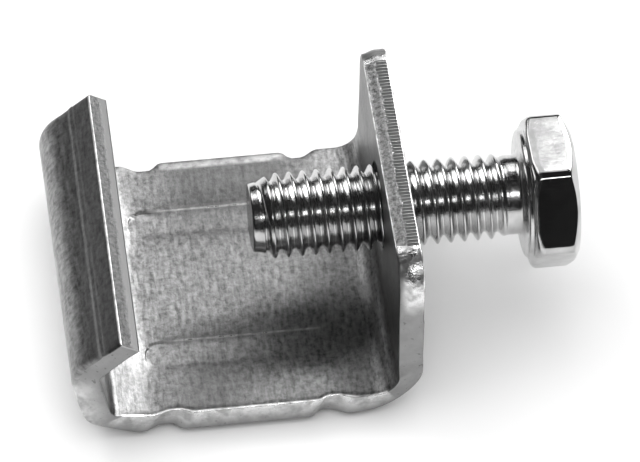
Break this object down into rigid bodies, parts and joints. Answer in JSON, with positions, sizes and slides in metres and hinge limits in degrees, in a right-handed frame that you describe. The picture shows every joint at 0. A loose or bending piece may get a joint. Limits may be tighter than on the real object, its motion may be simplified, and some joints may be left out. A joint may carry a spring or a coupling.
{
  "type": "flange clamp",
  "caption": "Small C-shaped flange clamp: one bent sheet-steel bracket with a folded hook lip and two pressed ribs, closed by one hex bolt through its upright flange.",
  "frame": {"origin": "middle of the clamp's length and width, on the plane it lies on: the crests of the two pressed ribs", "axes": "+X along the bolt from its tip to its head, +Y across the width of the sheet, +Z from the base toward the open side of the jaws"},
  "size_m": [0.048, 0.0306, 0.019],
  "materials": {
    "plated_sheet": "dull zinc-plated sheet steel, lightly mottled, with bright sheared edges",
    "plated_bolt": "bright zinc-plated steel"
  },
  "bodies": {
    "bracket": {"clamp_bracket": "plated_sheet"},
    "bolt": {"hex_bolt": "plated_bolt"}
  },
  "joints": [
    {"name": "bolt_travel", "type": "slide", "parent": "bracket", "child": "bolt", "axis": [-1, 0, 0], "range_m": [-0.011, 0.009]}
  ]
}
